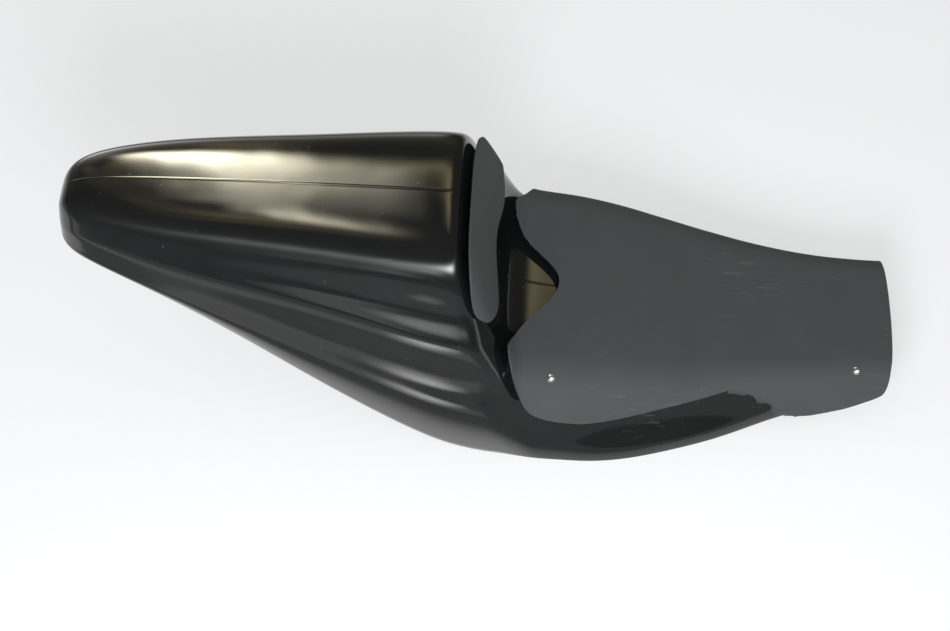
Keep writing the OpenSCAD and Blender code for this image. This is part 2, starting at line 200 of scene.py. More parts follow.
def on_skin(at, line, height=0.0):
    """Points of the shell's outer face at stations and lines, raised by a height in metres."""
    at, line = np.broadcast_arrays(np.asarray(at, float), np.asarray(line, float) + LAST_LINE)
    row = np.clip(np.floor(at), 0, LAST_STATION - 1).astype(int)
    column = np.clip(np.floor(line), 0, 2 * LAST_LINE - 1).astype(int)
    along, along_slope = spline_weights(at - row)
    across, across_slope = spline_weights(line - column)
    step = np.arange(4)
    points = NET[row[..., None, None] + step[:, None], column[..., None, None] + step]
    skin = np.einsum("...i,...j,...ijk->...k", along, across, points)
    forward = np.einsum("...i,...j,...ijk->...k", along_slope, across, points)
    leftward = np.einsum("...i,...j,...ijk->...k", along, across_slope, points)
    normal = np.cross(forward, leftward)
    length = np.linalg.norm(normal, axis=-1, keepdims=True)
    normal = np.where(length > 1e-12, normal / np.maximum(length, 1e-12), (-1, 0, 0))
    return skin + normal * np.asarray(height)[..., None]


# Settings


def length(name, description, default, low, high):
    """A length that the user may change, in metres."""
    return FloatProperty(
        name=name, description=description, default=default, min=low, max=high, unit="LENGTH"
    )


def colour(name, description, default):
    """A colour that the user may change."""
    return FloatVectorProperty(
        name=name, description=description, default=default, min=0, max=1, subtype="COLOR"
    )


def share(name, description, default):
    """A share from nothing to all."""
    return FloatProperty(
        name=name, description=description, default=default, min=0, max=1, subtype="FACTOR"
    )


class ShellSettings(bpy.types.PropertyGroup):
    wall: length("Wall", "Thickness of the laminate", 0.003, 0.002, 0.004)
    seam_height: length("Seam height", "Height of the parting seam", 0.0001, 0, 0.0003)
    cells_along: IntProperty(name="Cells along", description="Cells to a span", default=8)
    cells_across: IntProperty(name="Cells across", description="Cells to a span", default=6)
    gelcoat: colour("Gelcoat", "Colour of the lacquered outer face", (0.006, 0.0062, 0.0065))
    laminate: colour("Laminate", "Colour of the bare inner face", (0.035, 0.036, 0.033))
    gloss: share("Roughness", "Roughness of the polished gelcoat", 0.06)


class PadSettings(bpy.types.PropertyGroup):
    gap: length("Gap", "Layer of glue under a pad", 0.0003, 0.0001, 0.001)
    seat_thickness: length("Seat pad", "Thickness of the seat pad", 0.010, 0.006, 0.014)
    back_thickness: length("Back pad", "Thickness of the back pad", 0.011, 0.006, 0.014)
    edge_round: length("Edge rounding", "Radius of a pad's rim", 0.0025, 0.0005, 0.005)
    unevenness: length("Unevenness", "Waviness of the foam's top", 0.0003, 0, 0.001)
    foam: colour("Foam", "Colour of the closed-cell foam", (0.050, 0.054, 0.053))


class RivetSettings(bpy.types.PropertyGroup):
    aluminium: colour("Aluminium", "Colour of the rivets", (0.86, 0.87, 0.88))


class StudioSettings(bpy.types.PropertyGroup):
    floor: colour("Floor", "Colour of the floor", (0.86, 0.86, 0.86))
    floor_radius: length("Floor radius", "Radius of the floor", 12, 2, 30)
    softbox: length("Softbox", "Side of the softbox on the near side", 0.56, 0.2, 2)
    softbox_power: FloatProperty(name="Softbox power", description="In watts", default=22)
    evenness: share("Evenness", "How even the floor looks to the camera", 0.55)
    # Strength of a painted highlight: a spot on the floor that glows only for the gelcoat's
    # reflections, with no lamp there
    painted_sheen: FloatProperty(name="Sheen", description="Of the lamp on the mirrored floor", default=4.5)
    lens: length("Lens", "Focal length of the camera", 0.072, 0.03, 0.2)


# Node groups and materials


def add_node(tree, kind, sockets=None, **settings):
    """A shader node with its settings, and its inputs given as values or as linked sockets."""
    made = tree.nodes.new("ShaderNode" + kind)
    for name, value in settings.items():
        setattr(made, name, value)
    for name, value in (sockets or {}).items():
        if isinstance(value, bpy.types.NodeSocket):
            tree.links.new(value, made.inputs[name])
        else:
            made.inputs[name].default_value = value
    return made


def calc(tree, operation, a, b=0.0, clamp=False):
    """The result of a Math node."""
    return add_node(
        tree, "Math", {0: a, 1: b}, operation=operation, use_clamp=clamp
    ).outputs[0]


def remap(tree, value, low, high, to_low=0.0, to_high=1.0, smooth=False):
    """A value carried from one range to another, and held inside it."""
    kind = "SMOOTHSTEP" if smooth else "LINEAR"
    sockets = {"Value": value, "From Min": low, "From Max": high, "To Min": to_low,
               "To Max": to_high}
    return add_node(tree, "MapRange", sockets, interpolation_type=kind).outputs["Result"]


def mixed(tree, share_of_b, a, b):
    """Colour b laid over colour a by a share."""
    made = add_node(tree, "Mix", data_type="RGBA")
    for index, value in ((0, share_of_b), (6, a), (7, b)):
        if isinstance(value, bpy.types.NodeSocket):
            tree.links.new(value, made.inputs[index])
        elif index:
            made.inputs[index].default_value = (*value[:3], 1)
        else:
            made.inputs[index].default_value = value
    return made.outputs[2]


def new_group(name, inputs, outputs):
    """A node group with named sockets, and its input and output nodes."""
    tree = bpy.data.node_groups.new(name, "ShaderNodeTree")
    for socket, kind, default in inputs:
        made = tree.interface.new_socket(socket, in_out="INPUT", socket_type=kind)
        if default is not None:
            made.default_value = default
    for socket in outputs:
        tree.interface.new_socket(socket, in_out="OUTPUT", socket_type="NodeSocketFloat")
    source = tree.nodes.new("NodeGroupInput")
    result = tree.nodes.new("NodeGroupOutput")
    return tree, source.outputs, result.inputs


VECTOR, FLOAT = "NodeSocketVector", "NodeSocketFloat"


def scuffs_group():
    """Fine scratches that run two ways, gathered in patches."""
    inputs = (("Vector", VECTOR, None), ("Scale", FLOAT, 60.0), ("Amount", FLOAT, 0.5))
    tree, source, result = new_group("Scuffs", inputs, ("Mask",))
    patches = add_node(
        tree, "TexNoise",
        {"Vector": source["Vector"], "Scale": calc(tree, "MULTIPLY", source["Scale"], 0.35),
         "Detail": 2.0},
    ).outputs["Fac"]
    limit = remap(tree, source["Amount"], 0, 1, 0.74, 0.46)
    patches = remap(tree, calc(tree, "SUBTRACT", patches, limit), 0, 0.09, smooth=True)
    runs = None
    for turn in ((0.1, 0.2, 0.35), (0.6, -0.3, -0.5)):
        stretched = add_node(
            tree, "Mapping",
            {"Vector": source["Vector"], "Rotation": turn, "Scale": (0.12, 1.6, 1.6)},
        ).outputs[0]
        streaks = add_node(
            tree, "TexNoise",
            {"Vector": stretched, "Scale": calc(tree, "MULTIPLY", source["Scale"], 7.0),
             "Detail": 1.0, "Roughness": 0.4},
        ).outputs["Fac"]
        streaks = remap(tree, streaks, 0.66, 0.72)
        runs = streaks if runs is None else calc(tree, "MAXIMUM", runs, streaks)
    tree.links.new(calc(tree, "MULTIPLY", runs, patches), result["Mask"])
    return tree


def specks_group():
    """Specks of dust, a few of them large."""
    inputs = (("Vector", VECTOR, None), ("Scale", FLOAT, 160.0), ("Size", FLOAT, 0.12))
    tree, source, result = new_group("Specks", inputs, ("Mask",))
    cells = add_node(tree, "TexVoronoi", {"Vector": source["Vector"], "Scale": source["Scale"]})
    picked = add_node(tree, "SeparateColor", {0: cells.outputs["Color"]}).outputs[0]
    size = calc(tree, "MULTIPLY", source["Size"], calc(tree, "POWER", picked, 6.0))
    inside = calc(tree, "SUBTRACT", size, cells.outputs["Distance"])
    tree.links.new(remap(tree, inside, 0, 0.02), result["Mask"])
    return tree


def mottle_group():
    """Soft uneven patches round a middle value of a half."""
    inputs = (("Vector", VECTOR, None), ("Scale", FLOAT, 30.0), ("Contrast", FLOAT, 1.0))
    tree, source, result = new_group("Mottle", inputs, ("Value",))
    noise = add_node(
        tree, "TexNoise",
        {"Vector": source["Vector"], "Scale": source["Scale"], "Detail": 5.0,
         "Roughness": 0.6},
    ).outputs["Fac"]
    swing = calc(tree, "MULTIPLY", calc(tree, "SUBTRACT", noise, 0.5), source["Contrast"])
    tree.links.new(calc(tree, "ADD", swing, 0.5, clamp=True), result["Value"])
    return tree


def glow_group():
    """An oval that fades out from its centre, seen along a direction."""
    inputs = (("Vector", VECTOR, None), ("Centre", VECTOR, None), ("Right", VECTOR, None),
              ("Up", VECTOR, None))
    tree, source, result = new_group("Glow", inputs, ("Value",))
    ahead, right, up = (
        add_node(
            tree, "VectorMath", {0: source["Vector"], 1: source[name]}, operation="DOT_PRODUCT"
        ).outputs["Value"]
        for name in ("Centre", "Right", "Up")
    )
    far = calc(tree, "ADD", calc(tree, "POWER", right, 2.0), calc(tree, "POWER", up, 2.0))
    fade = calc(tree, "EXPONENT", calc(tree, "MULTIPLY", far, -1.0))
    tree.links.new(
        calc(tree, "MULTIPLY", fade, calc(tree, "GREATER_THAN", ahead, 0.0)), result["Value"]
    )
    return tree


def shared_group(name):
    """The node group of that name, built the first time it is asked for."""
    makers = {
        "Scuffs": scuffs_group, "Specks": specks_group, "Mottle": mottle_group,
        "Glow": glow_group,
    }
    return bpy.data.node_groups.get(name) or makers[name]()


def effect(tree, name, place, **values):
    """A shared effect placed in a material with its own values."""
    made = tree.nodes.new("ShaderNodeGroup")
    made.node_tree = shared_group(name)
    tree.links.new(place, made.inputs["Vector"])
    for socket, value in values.items():
        made.inputs[socket].default_value = value
    return made.outputs[0]


def new_material(name):
    """An empty material, its shader and the object's own coordinates."""
    material = bpy.data.materials.new(name)
    material.use_nodes = True
    tree = material.node_tree
    tree.nodes.clear()
    output = tree.nodes.new("ShaderNodeOutputMaterial")
    shader = tree.nodes.new("ShaderNodeBsdfPrincipled")
    tree.links.new(shader.outputs[0], output.inputs["Surface"])
    place = tree.nodes.new("ShaderNodeTexCoord").outputs["Object"]
    return material, tree, shader, place


def bump(tree, height, strength, distance, under=None):
    """The normal that a height gives."""
    sockets = {"Height": height, "Strength": strength, "Distance": distance}
    if under is not None:
        sockets["Normal"] = under
    return add_node(tree, "Bump", sockets).outputs[0]


def gelcoat_material(settings):
    """Black gelcoat: polished, with slight waves, fine scuffs and dust."""
    material, tree, shader, place = new_material("Black gelcoat")
    scuffs = effect(tree, "Scuffs", place, Scale=22.0, Amount=0.3)
    specks = effect(tree, "Specks", place, Scale=150.0, Size=0.12)
    haze = effect(tree, "Mottle", place, Scale=14.0, Contrast=1.6)
    wear = calc(tree, "MAXIMUM", calc(tree, "MULTIPLY", scuffs, 0.5), specks)
    black = mixed(tree, haze, settings.gelcoat, [c * 1.5 for c in settings.gelcoat])
    tree.links.new(mixed(tree, wear, black, (0.09, 0.085, 0.075)), shader.inputs["Base Color"])
    polish = remap(tree, haze, 0.2, 0.9, settings.gloss * 0.7, settings.gloss * 1.4)
    rough = calc(tree, "ADD", polish, calc(tree, "MULTIPLY", wear, 0.4), clamp=True)
    tree.links.new(rough, shader.inputs["Roughness"])
    waves = add_node(tree, "TexNoise", {"Vector": place, "Scale": 16.0, "Detail": 1.0})
    peel = add_node(tree, "TexNoise", {"Vector": place, "Scale": 420.0, "Detail": 1.0})
    normal = bump(tree, waves.outputs["Fac"], 0.35, 0.0012)
    normal = bump(tree, peel.outputs["Fac"], 0.03, 0.0002, normal)
    normal = bump(tree, calc(tree, "SUBTRACT", 1.0, scuffs), 0.12, 0.0001, normal)
    tree.links.new(normal, shader.inputs["Normal"])
    shader.inputs["IOR"].default_value = 1.6
    return material


def laminate_material(settings):
    """Bare chopped-strand laminate, as the mould's open side leaves it."""
    material, tree, shader, place = new_material("Bare laminate")
    strands = None
    for turn in ((0, 0, 0.3), (0.5, 0, 1.4), (0, 0.6, 2.5)):
        stretched = add_node(
            tree, "Mapping", {"Vector": place, "Rotation": turn, "Scale": (0.1, 1, 1)}
        ).outputs[0]
        strand = add_node(
            tree, "TexNoise", {"Vector": stretched, "Scale": 420.0, "Detail": 1.0}
        ).outputs["Fac"]
        strands = strand if strands is None else calc(tree, "MAXIMUM", strands, strand)
    mask = remap(tree, strands, 0.5, 0.72)
    mottle = effect(tree, "Mottle", place, Scale=24.0, Contrast=1.6)
    base = mixed(tree, mottle, [c * 0.7 for c in settings.laminate], settings.laminate)
    pale = [c * 2.2 for c in settings.laminate]
    tree.links.new(mixed(tree, mask, base, pale), shader.inputs["Base Color"])
    tree.links.new(remap(tree, mottle, 0, 1, 0.35, 0.6), shader.inputs["Roughness"])
    tree.links.new(bump(tree, strands, 0.6, 0.0006), shader.inputs["Normal"])
    return material


def cut_edge_material(settings):
    """The trimmed and sanded edge of the laminate."""
    material, tree, shader, place = new_material("Cut edge")
    mottle = effect(tree, "Mottle", place, Scale=260.0, Contrast=2.0)
    scuffs = effect(tree, "Scuffs", place, Scale=90.0, Amount=0.7)
    base = mixed(tree, mottle, [c * 1.2 for c in settings.laminate], (0.10, 0.10, 0.092))
    tree.links.new(mixed(tree, scuffs, base, (0.18, 0.18, 0.17)), shader.inputs["Base Color"])
    tree.links.new(remap(tree, mottle, 0, 1, 0.5, 0.75), shader.inputs["Roughness"])
    tree.links.new(bump(tree, mottle, 0.3, 0.0002), shader.inputs["Normal"])
    return material


def foam_material(settings):
    """Closed-cell foam: matt, with fine cells, soft mottling and pale scuffs."""
    material, tree, shader, place = new_material("Pad foam")
    mottle = effect(tree, "Mottle", place, Scale=26.0, Contrast=0.9)
    grain = effect(tree, "Mottle", place, Scale=700.0, Contrast=1.2)
    scuffs = effect(tree, "Scuffs", place, Scale=20.0, Amount=0.5)
    dark, pale = [c * 0.86 for c in settings.foam], [c * 1.14 for c in settings.foam]
    base = mixed(tree, mottle, dark, pale)
    base = mixed(tree, calc(tree, "MULTIPLY", grain, 0.25), base, [c * 1.5 for c in pale])
    worn = mixed(tree, calc(tree, "MULTIPLY", scuffs, 0.3), base, (0.13, 0.135, 0.13))
    tree.links.new(worn, shader.inputs["Base Color"])
    tree.links.new(remap(tree, grain, 0, 1, 0.78, 0.94), shader.inputs["Roughness"])
    cells = add_node(tree, "TexVoronoi", {"Vector": place, "Scale": 1100.0}).outputs["Distance"]
    normal = bump(tree, cells, 0.25, 0.0002)
    normal = bump(tree, mottle, 0.3, 0.0008, normal)
    tree.links.new(normal, shader.inputs["Normal"])
    shader.inputs["Specular IOR Level"].default_value = 0.3
    return material


def aluminium_material(settings):
    """Plain aluminium with handling marks."""
    material, tree, shader, place = new_material("Rivet aluminium")
    mottle = effect(tree, "Mottle", place, Scale=700.0, Contrast=1.6)
    scuffs = effect(tree, "Scuffs", place, Scale=600.0, Amount=0.6)
    dull = [c * 0.8 for c in settings.aluminium]
    tree.links.new(mixed(tree, mottle, dull, settings.aluminium), shader.inputs["Base Color"])
    rough = calc(tree, "ADD", remap(tree, mottle, 0, 1, 0.26, 0.4),
                 calc(tree, "MULTIPLY", scuffs, 0.2))
    tree.links.new(rough, shader.inputs["Roughness"])
    tree.links.new(bump(tree, mottle, 0.1, 0.0001), shader.inputs["Normal"])
    shader.inputs["Metallic"].default_value = 1.0
    return material


# Modelling

SMOOTH_ANGLE = 40
# Vertices of the skin nearer than this are the same one, as at the tip
SAME_POINT = 1e-6
# The trimmed edge of the shell is broken by this much, where it turns by more than this angle
EDGE_BREAK = 0.0004
EDGE_ANGLE = 55


def read_points(piece):
    """The piece's vertices as rows of three numbers."""
    flat = np.empty(len(piece.data.vertices) * 3)
    piece.data.vertices.foreach_get("co", flat)
    return flat.reshape(-1, 3)


def write_points(piece, points):
    """Puts the piece's vertices at those points."""
    piece.data.vertices.foreach_set("co", np.asarray(points, float).ravel())
    piece.data.update()


def add_grid(name, rows, columns):
    """A flat grid, alone selected, and the share of each vertex along and across it."""
    bpy.ops.object.select_all(action="DESELECT")
    bpy.ops.mesh.primitive_grid_add(x_subdivisions=rows, y_subdivisions=columns, size=1)
    piece = bpy.context.object
    piece.name = piece.data.name = name
    shares = read_points(piece)[:, :2] + 0.5
    return piece, shares[:, 0], shares[:, 1]


def apply_modifier(piece, kind, **settings):
    """Adds a modifier with those settings and applies it."""
    modifier = piece.modifiers.new(kind.title(), kind)
    for name, value in settings.items():
        setattr(modifier, name, value)
    bpy.ops.object.modifier_apply(modifier=modifier.name)


def finish_piece(piece, slot_name, *nodes):
    """Smooth shading, body, and hiding of the CAD nodes that the piece stands for."""
    bpy.ops.object.shade_smooth_by_angle(angle=math.radians(SMOOTH_ANGLE))
    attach(piece, "root")
    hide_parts(*nodes)


# Lines beside the centreline where the parting seam stands up, and the shares of its height there.
# The last line only keeps the cells beside the seam small.
SEAM_LINES = (0.010, 0.022, 0.034, 0.07)
SEAM_RISE = (1, 0.55, 0)


class SEATUNIT_OT_shell(bpy.types.Operator):
    """Lay up the one-piece shell over the lines plan, with its seam, wall and trimmed edge"""

    bl_idname = "seat_unit.shell"
    bl_label = "Shell"

    def execute(self, context):
        settings = context.scene.seat_unit_shell
        even = np.linspace(0, LAST_LINE, LAST_LINE * settings.cells_across + 1)
        half = np.sort(np.concatenate([even, SEAM_LINES]))
        lines = np.concatenate([-half[:0:-1], half])
        piece, along, across = add_grid(
            "shell_gelcoat", LAST_STATION * settings.cells_along, len(lines) - 1
        )
        line = lines[np.rint(across * (len(lines) - 1)).astype(int)]
        rise = np.interp(np.abs(line), SEAM_LINES[:3], SEAM_RISE) * settings.seam_height
        write_points(piece, on_skin(along * LAST_STATION, line, rise))
        for maker in (gelcoat_material, laminate_material, cut_edge_material):
            piece.data.materials.append(maker(settings))
        bpy.ops.object.mode_set(mode="EDIT")
        bpy.ops.mesh.select_all(action="SELECT")
        bpy.ops.mesh.remove_doubles(threshold=SAME_POINT)
        bpy.ops.object.mode_set(mode="OBJECT")
        apply_modifier(
            piece, "SOLIDIFY", thickness=settings.wall, offset=-1, use_even_offset=True,
            material_offset=1, material_offset_rim=2,
        )
        points = read_points(piece)
        points[:, 2] = np.maximum(points[:, 2], 0)
        write_points(piece, points)
        apply_modifier(
            piece, "BEVEL", width=EDGE_BREAK, segments=2, limit_method="ANGLE",
            angle_limit=math.radians(EDGE_ANGLE),
        )
        finish_piece(piece, "gelcoat", "shell")
        return {"FINISHED"}


# Outline of the seat pad, in stations and lines: the rear edge runs from the notch at the middle
# out to the lobes, and the side edge is given at shares of the way from there to the front. Over
# the top its columns lie evenly, and beyond that they spread out to the side edge.
FRONT_STATION = LAST_STATION - 0.05
FRONT_CORNER_LINE = 7
FRONT_CORNER = 1.1
NOTCH_STATION = 14.4
NOTCH_SHARPNESS = 1.3
LOBE_STATION = 12.05
LEFT_LOBE_STATION = 12.4
SIDE_STATION = 14.8
LOBE_LINE = 4.7
LEFT_LOBE_LINE = 3.2
LEFT_CORNER = 1.3
TOP_LINE = 4.6
TOP_SHARE = 1 / 2
CORNER_SHARE = 0.04
CORNER_SAMPLES = 9
PAD_SIDE = (
    (0, 7.3), (0.16, 6.9), (0.28, 6.5), (0.38, 6.1), (0.49, 5.6), (0.56, 5.25), (0.61, 5.35),
    (0.655, 5.8), (0.7, 7), (0.75, 9), (0.82, 11.1), (0.9, 11.7), (1, 11.7),
)
# Outline of the back pad: its top and bottom edges in stations, its ends in lines, and how far
# the corners are rounded. The left end is shorter and its corners are rounded otherwise.
BACK_TOP = 9.75
BACK_BOTTOM = 11.38
BACK_SIDE = 3.95
LEFT_BACK_SIDE = 3.7
BACK_TOP_ROUND = 0.55
BACK_LOBE = 0.3
BACK_BOTTOM_ROUND = 0.85
LEFT_TOP_ROUND = 1.2
LEFT_BOTTOM_ROUND = 0.3
BACK_FULLNESS = 3
# Where the fine steps lie in a pad's margin, and how many points a side of its outline has
MARGIN_STEPS = (0, 0.03, 0.12, 0.27, 0.47, 0.72)
BORDER_STEPS = 600
# Waves of the foam's top: radians to a metre along X and Y, and the shift of each
FOAM_WAVES = ((61, 23, 0), (37, -83, 1.3), (90, 143, 0))


def seat_pad_side(p):
    """Line of the seat pad's side edge at that share of its length, with eased corners."""
    around = np.linspace(-CORNER_SHARE, CORNER_SHARE, CORNER_SAMPLES)
    return np.mean([np.interp(p + step, *zip(*PAD_SIDE)) for step in around], axis=0)


def seat_pad_rear(line):
    """Station of the seat pad's rear edge at a line. The left lobe is cut a little shorter."""
    left, line = line > 0, np.abs(line)
    lobe_line = np.where(left, LEFT_LOBE_LINE, LOBE_LINE)
    lobe = np.where(left, LEFT_LOBE_STATION, LOBE_STATION)
    wave = ((1 + np.cos(np.pi * np.minimum(line / lobe_line, 1))) / 2) ** NOTCH_SHARPNESS
    out = np.clip((line - lobe_line) / (seat_pad_side(0) - lobe_line), 0, 1)
    rounding = np.where(left, out**LEFT_CORNER, 1 - np.sqrt(1 - out**2))
    notch, corner = mix(lobe, NOTCH_STATION, wave), mix(lobe, SIDE_STATION, rounding)
    return np.where(line < lobe_line, notch, corner)


def seat_pad_front(line):
    """Station of the seat pad's front edge at a line, which falls back at the corners."""
    out = (np.abs(line) - FRONT_CORNER_LINE) / (seat_pad_side(1) - FRONT_CORNER_LINE)
    return FRONT_STATION - FRONT_CORNER * np.maximum(out, 0) ** 2


def seat_pad_line(q, p):
    """Line of a column of the seat pad: even over the top, then out to the side edge."""
    out = (np.abs(q) - TOP_SHARE) / (1 - TOP_SHARE)
    top = np.abs(q) / TOP_SHARE * TOP_LINE
    return np.sign(q) * np.where(out < 0, top, mix(TOP_LINE, seat_pad_side(p), out))


def seat_pad_place(along, across):
    """Station and line of a point of the seat pad."""
    q = 2 * across - 1
    rear, front = seat_pad_rear(seat_pad_line(q, 0)), seat_pad_front(seat_pad_line(q, 1))
    return mix(rear, front, along), seat_pad_line(q, along)


def back_pad_place(along, across):
    """Station and line of a point of the back pad."""
    q = 2 * across - 1
    rounding = 1 - np.sqrt(1 - np.clip(np.abs(q), 0, 1) ** BACK_FULLNESS)
    top = BACK_TOP + np.where(q > 0, LEFT_TOP_ROUND, BACK_TOP_ROUND) * rounding
    lobes = BACK_LOBE * np.sin(np.pi * np.abs(q)) ** 2
    bottom_round = np.where(q > 0, LEFT_BOTTOM_ROUND, BACK_BOTTOM_ROUND)
    bottom = BACK_BOTTOM + lobes - bottom_round * rounding
    return mix(top, bottom, along), q * np.where(q > 0, LEFT_BACK_SIDE, BACK_SIDE)


def edge_steps(cells, margin):
    """Even shares from one edge to the other, with finer ones in a margin at both edges."""
    fine = margin * np.array(MARGIN_STEPS)
    even = np.linspace(margin, 1 - margin, cells - 2 * len(fine) + 1)
    return np.concatenate([fine, even, 1 - fine[::-1]])


def border_points(place, height):
    """Points close together all round a pad's outline."""
    run = np.linspace(0, 1, BORDER_STEPS)
    sides = ((run * 0, run), (run * 0 + 1, run), (run, run * 0), (run, run * 0 + 1))
    return np.concatenate([on_skin(*place(along, across), height) for along, across in sides])


def distance_to(points, border):
    """How far each point lies from the nearest of the border's points."""
    nearest = np.full(len(points), np.inf)
    for spot in border:
        nearest = np.minimum(nearest, ((points - spot) ** 2).sum(axis=1))
    return np.sqrt(nearest)


def build_pad(name, place, thickness, slot_name, node, rows, columns, margins):
    """A foam pad glued to the skin: a flat sheet bent over it, with rounded top edges.

    The margins are the shares of its length and of its width that its rim takes up.
    """
    settings = bpy.context.scene.seat_unit_pads
    piece, along, across = add_grid(name, rows, columns)
    row, column = np.rint(along * rows).astype(int), np.rint(across * columns).astype(int)
    at, line = place(edge_steps(rows, margins[0])[row], edge_steps(columns, margins[1])[column])
    write_points(piece, on_skin(at, line, settings.gap))
    piece.data.materials.append(bpy.data.materials.get("Pad foam") or foam_material(settings))
    apply_modifier(piece, "SOLIDIFY", thickness=thickness, offset=1)

    middle = on_skin(at, line, settings.gap + thickness)
    x, y, _ = middle.T
    waves = sum(np.sin(u * x + v * y + shift) for u, v, shift in FOAM_WAVES)
    border = border_points(place, settings.gap + thickness)
    inward = np.minimum(distance_to(middle, border) / settings.edge_round, 1)
    fall = settings.edge_round * (1 - np.sqrt(1 - (1 - inward) ** 2))
    height = settings.gap + thickness - fall + waves / len(FOAM_WAVES) * settings.unevenness * inward
    points = read_points(piece)
    points[len(at):] = on_skin(at, line, height)
    write_points(piece, points)
    finish_piece(piece, slot_name, node)


class SEATUNIT_OT_seat_pad(bpy.types.Operator):
    """Cut the seat pad from foam sheet and bend it over the pan, with its lobes and its waist"""

    bl_idname = "seat_unit.seat_pad"
    bl_label = "Seat Pad"

    def execute(self, context):
        thickness = context.scene.seat_unit_pads.seat_thickness
        build_pad(
            "seat_pad_foam", seat_pad_place, thickness, "seat_foam", "seat_pad",
            rows=160, columns=140, margins=(0.0065, 0.009),
        )
        return {"FINISHED"}


class SEATUNIT_OT_back_pad(bpy.types.Operator):
    """Cut the back pad from foam sheet and bend it over the bum stop"""

    bl_idname = "seat_unit.back_pad"
    bl_label = "Back Pad"

    def execute(self, context):
        thickness = context.scene.seat_unit_pads.back_thickness
        build_pad(
            "back_pad_foam", back_pad_place, thickness, "back_foam", "back_pad",
            rows=48, columns=120, margins=(0.045, 0.012),
        )
        return {"FINISHED"}


class SEATUNIT_OT_rivets(bpy.types.Operator):
    """Give the two blind rivets their aluminium"""

    bl_idname = "seat_unit.rivets"
    bl_label = "Rivets"

    def execute(self, context):
        metal = aluminium_material(context.scene.seat_unit_rivets)
        for name in RIVETS:
            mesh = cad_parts[name].data
            mesh.materials.clear()
            mesh.materials.append(metal)
        return {"FINISHED"}


# Studio

# Angles are in degrees, and places on the floor in metres from the middle of the object
CAMERA_AZIMUTH, CAMERA_ELEVATION, CAMERA_DISTANCE = 3, 55, 2.0
CAMERA_TARGET = Vector((-0.011, 0, 0.095))
CAMERA_SHIFT = -0.0332
SENSOR_WIDTH = 36

SOFT_LIGHT = (0.52, 0.53, 0.54)
DARK_ROOM = (0.075, 0.078, 0.055)
GOLD, SUN, DAY = (1.0, 0.82, 0.46), (1.0, 0.94, 0.72), (0.94, 1.0, 0.98)
WHITE = (1.0, 0.97, 0.90)
# Azimuth, elevation, half width, half height and turn of each glow, then its strength and tint
GLOWS = (
    (197.5, 44.5, 2.8, 6.5, 31, 30, SUN),
    (194.2, 61, 1.7, 5.5, 0, 8.0, SUN),
    (197, 53.5, 2.5, 2.0, 0, 2.4, SUN),
    (202, 66, 5.0, 4.5, 0, 1.0, GOLD),
    (216, 73, 6.0, 3.5, 0, 0.4, GOLD),
    (174, 49.5, 14, 1.8, 0, 1.4, GOLD),
    (189, 50.5, 3.0, 1.7, 0, 2.0, SUN),
    (192.5, 34, 2.2, 10, 0, 0.8, GOLD),
    (205, 44, 5.0, 4.0, 0, 0.6, GOLD),
    (208, 56, 2.5, 6.0, 0, 0.3, GOLD),
    (220, 36, 1.6, 9.0, 25, 0.35, GOLD),
    (154, 50, 7.0, 4.0, 0, 1.3, GOLD),
    (176, 26, 14, 12, 0, 0.16, GOLD),
    (208, 28, 8.0, 7.0, 0, 0.9, WHITE),
    (206, 6, 13, 13, 0, 4.5, WHITE),
    (183, 3, 4.0, 12, 0, 0.9, WHITE),
    (32, 41, 24, 9.0, 0, 14, DAY),
    (355, 22, 6.0, 7.0, 0, 1.8, DAY),
    (348, 5, 4.0, 14, 0, 0.8, DAY),
    (5, 34, 26, 18, 0, 0.5, DAY),
    (300, 20, 60, 40, 0, 0.06, DAY),
)

# Painted reflection: to glossy rays only, the floor glows as a white sheet under the object, which
# the gelcoat mirrors. Where the sheet starts and is full along Y, and how bright the floor beyond it
# is
SHEET_START, SHEET_FULL, SHEET_REST = -0.21, -0.16, 0.34
# A brighter lane painted into the same glow, before the sheet: where it starts, is full, fades and
# ends along Y, and fades in along X
LANE_START, LANE_FULL, LANE_STRENGTH = -0.27, -0.31, 0.45
LANE_FADE, LANE_END, LANE_REST = -0.40, -0.46, 0.2
LANE_FRONT, LANE_REAR = 0.1, -0.05
# How far from the middle the painted glow of the mirrored floor starts to dim and is dim, and how
# bright it is there
REACH_FULL, REACH_DIM, REACH_REST = 0.85, 1.4, 0.4
# The oval painted highlight, a spot on the floor that glows only for glossy rays so that the shell's
# hip mirrors it: scale and shift of the floor to a round spot, and the spot's radius
SHEEN_SCALE, SHEEN_SHIFT, SHEEN_RADIUS = (14, 7, 0), (1.68, 3.0, 0), 1.2


def direction(azimuth, elevation):
    """The way to a place round the object, azimuth 0 on its right side and 90 at its front."""
    a, e = math.radians(azimuth), math.radians(elevation)
    return Vector((math.sin(a) * math.cos(e), -math.cos(a) * math.cos(e), math.sin(e)))


def glow(tree, facing, azimuth, elevation, wide, tall, turn, strength, tint):
    """A soft oval patch of light in the room, with its half sizes and its turn in degrees."""
    centre = direction(azimuth, elevation)
    right = Vector((0, 0, 1)).cross(centre).normalized()
    right.rotate(Quaternion(centre, math.radians(turn)))
    up = centre.cross(right)
    patch = tree.nodes.new("ShaderNodeGroup")
    patch.node_tree = shared_group("Glow")
    tree.links.new(facing, patch.inputs["Vector"])
    patch.inputs["Centre"].default_value = centre
    patch.inputs["Right"].default_value = right / math.sin(math.radians(wide))
    patch.inputs["Up"].default_value = up / math.sin(math.radians(tall))
    return add_node(
        tree, "VectorMath", {0: [c * strength for c in tint], "Scale": patch.outputs[0]},
        operation="SCALE",
    ).outputs[0]


